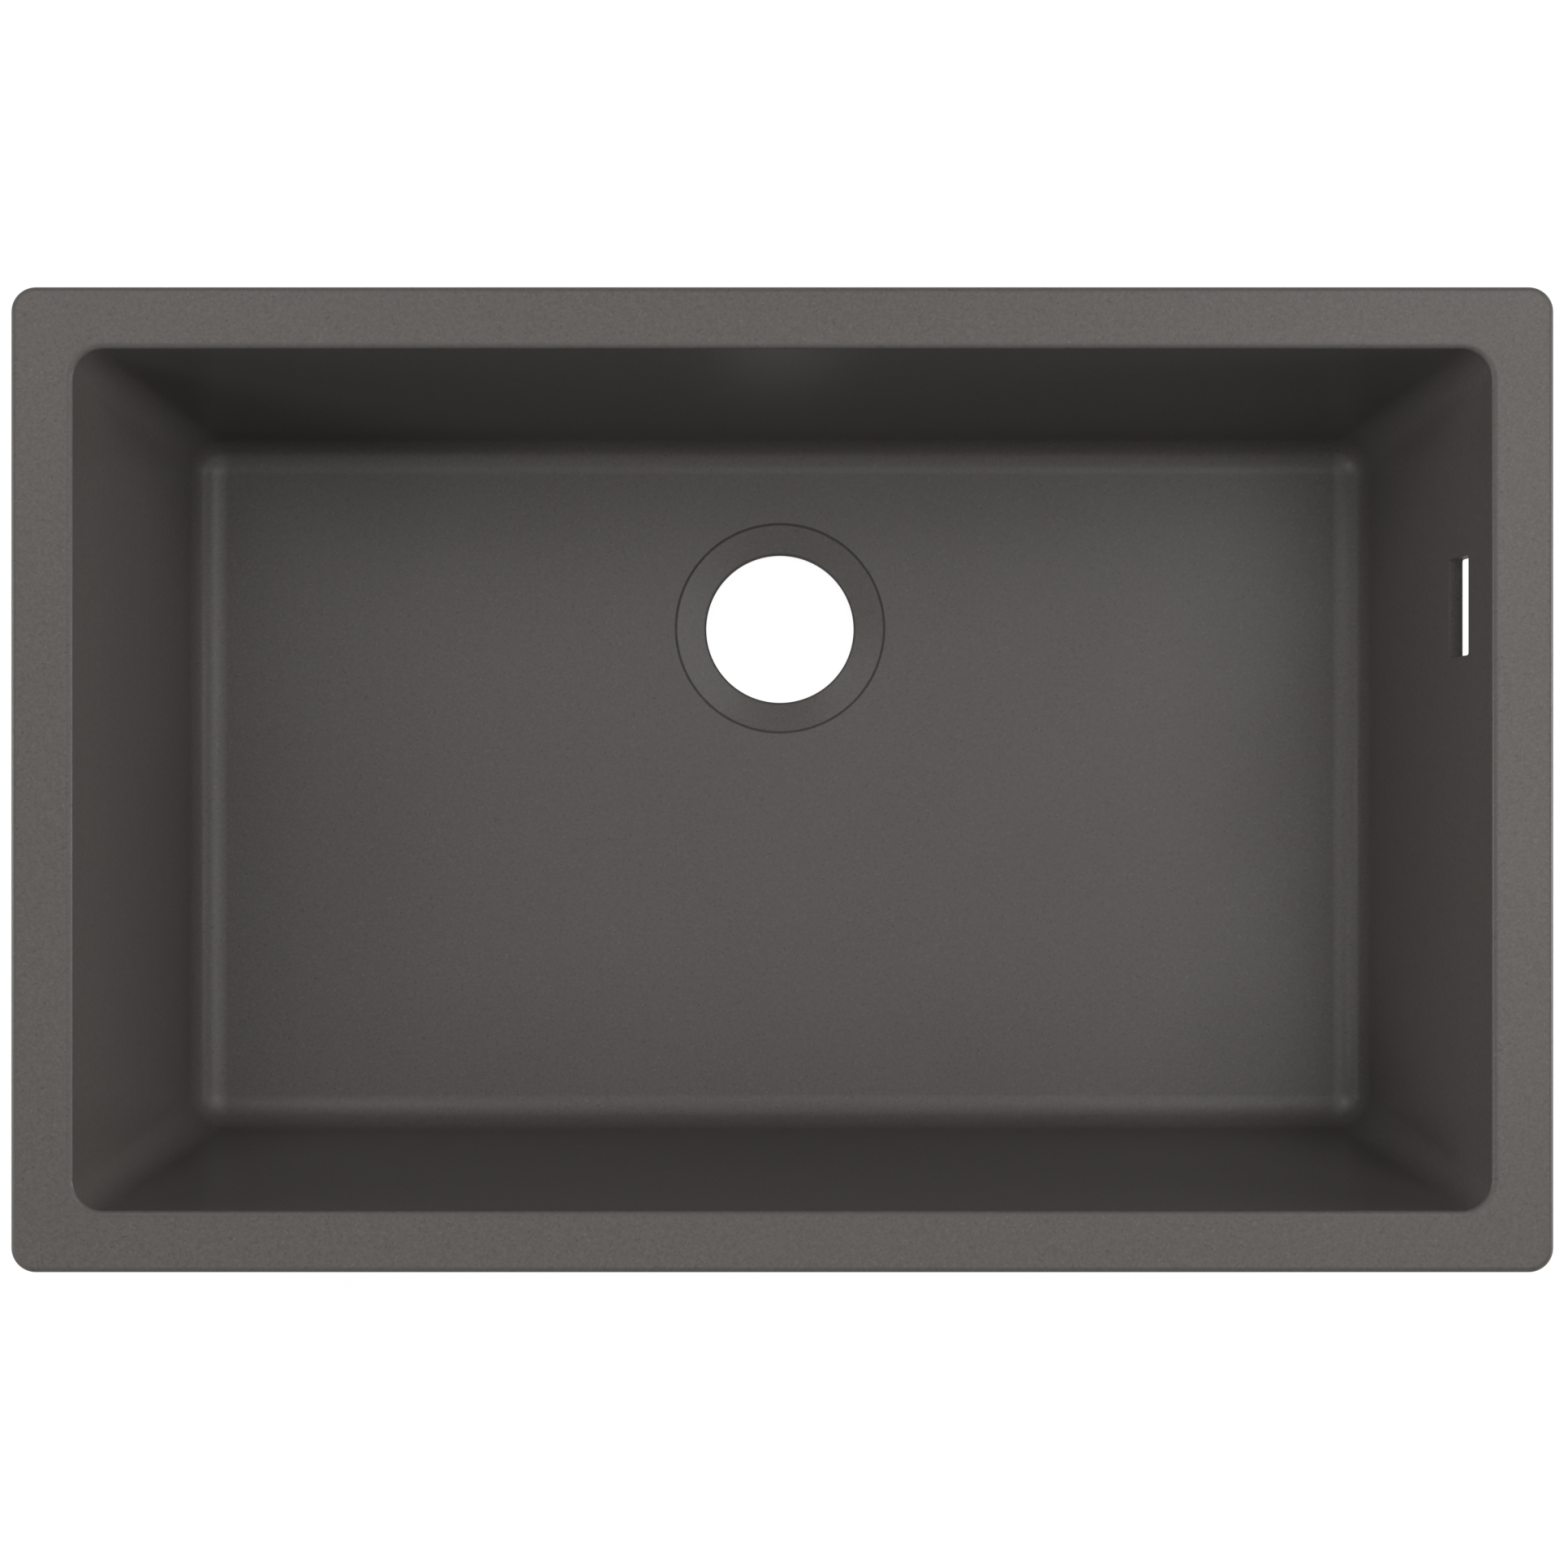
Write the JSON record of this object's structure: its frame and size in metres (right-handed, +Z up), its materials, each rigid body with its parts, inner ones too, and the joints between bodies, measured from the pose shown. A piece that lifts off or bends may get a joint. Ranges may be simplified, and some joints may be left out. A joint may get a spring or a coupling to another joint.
{
  "type": "undermount kitchen sink",
  "caption": "Undermount kitchen sink in stone-grey composite: flat rim, deep drafted bowl, rear waste hole, overflow slot and swivel fixing lugs under the rim.",
  "frame": {"origin": "centre of the rim's top face, which is the plane of the worktop's underside", "axes": "+X to the right along the long side, towards the overflow; +Y to the back, towards the waste hole; +Z up out of the bowl"},
  "size_m": [0.72, 0.46, 0.202],
  "materials": {
    "composite": "matte",
    "brass": "satin",
    "stainless_screw": "satin",
    "spring_steel": "satin",
    "stainless_lug": "satin"
  },
  "bodies": {
    "bowl": {"sink_bowl": "composite", "insert_back_left": "brass", "screw_back_left": "stainless_screw", "disc_spring_back_left": "spring_steel", "insert_back_middle": "brass", "screw_back_middle": "stainless_screw", "disc_spring_back_middle": "spring_steel", "insert_back_right": "brass", "screw_back_right": "stainless_screw", "disc_spring_back_right": "spring_steel", "insert_right": "brass", "screw_right": "stainless_screw", "disc_spring_right": "spring_steel", "insert_front_right": "brass", "screw_front_right": "stainless_screw", "disc_spring_front_right": "spring_steel", "insert_front_middle": "brass", "screw_front_middle": "stainless_screw", "disc_spring_front_middle": "spring_steel", "insert_front_left": "brass", "screw_front_left": "stainless_screw", "disc_spring_front_left": "spring_steel", "insert_left": "brass", "screw_left": "stainless_screw", "disc_spring_left": "spring_steel"},
    "lug_back_left": {"lug_back_left": "stainless_lug"},
    "lug_back_middle": {"lug_back_middle": "stainless_lug"},
    "lug_back_right": {"lug_back_right": "stainless_lug"},
    "lug_right": {"lug_right": "stainless_lug"},
    "lug_front_right": {"lug_front_right": "stainless_lug"},
    "lug_front_middle": {"lug_front_middle": "stainless_lug"},
    "lug_front_left": {"lug_front_left": "stainless_lug"},
    "lug_left": {"lug_left": "stainless_lug"}
  },
  "joints": [
    {"name": "swivel_back_left", "type": "hinge", "parent": "bowl", "child": "lug_back_left", "pos_m": [-0.24, 0.221, -0.01335], "axis": [0, 0, 1], "range_deg": [0, 180]},
    {"name": "swivel_back_middle", "type": "hinge", "parent": "bowl", "child": "lug_back_middle", "pos_m": [0, 0.221, -0.01335], "axis": [0, 0, 1], "range_deg": [0, 180]},
    {"name": "swivel_back_right", "type": "hinge", "parent": "bowl", "child": "lug_back_right", "pos_m": [0.24, 0.221, -0.01335], "axis": [0, 0, 1], "range_deg": [0, 180]},
    {"name": "swivel_right", "type": "hinge", "parent": "bowl", "child": "lug_right", "pos_m": [0.351, 0, -0.01335], "axis": [0, 0, 1], "range_deg": [0, 180]},
    {"name": "swivel_front_right", "type": "hinge", "parent": "bowl", "child": "lug_front_right", "pos_m": [0.24, -0.221, -0.01335], "axis": [0, 0, 1], "range_deg": [0, 180]},
    {"name": "swivel_front_middle", "type": "hinge", "parent": "bowl", "child": "lug_front_middle", "pos_m": [0, -0.221, -0.01335], "axis": [0, 0, 1], "range_deg": [0, 180]},
    {"name": "swivel_front_left", "type": "hinge", "parent": "bowl", "child": "lug_front_left", "pos_m": [-0.24, -0.221, -0.01335], "axis": [0, 0, 1], "range_deg": [0, 180]},
    {"name": "swivel_left", "type": "hinge", "parent": "bowl", "child": "lug_left", "pos_m": [-0.351, 0, -0.01335], "axis": [0, 0, 1], "range_deg": [0, 180]}
  ]
}
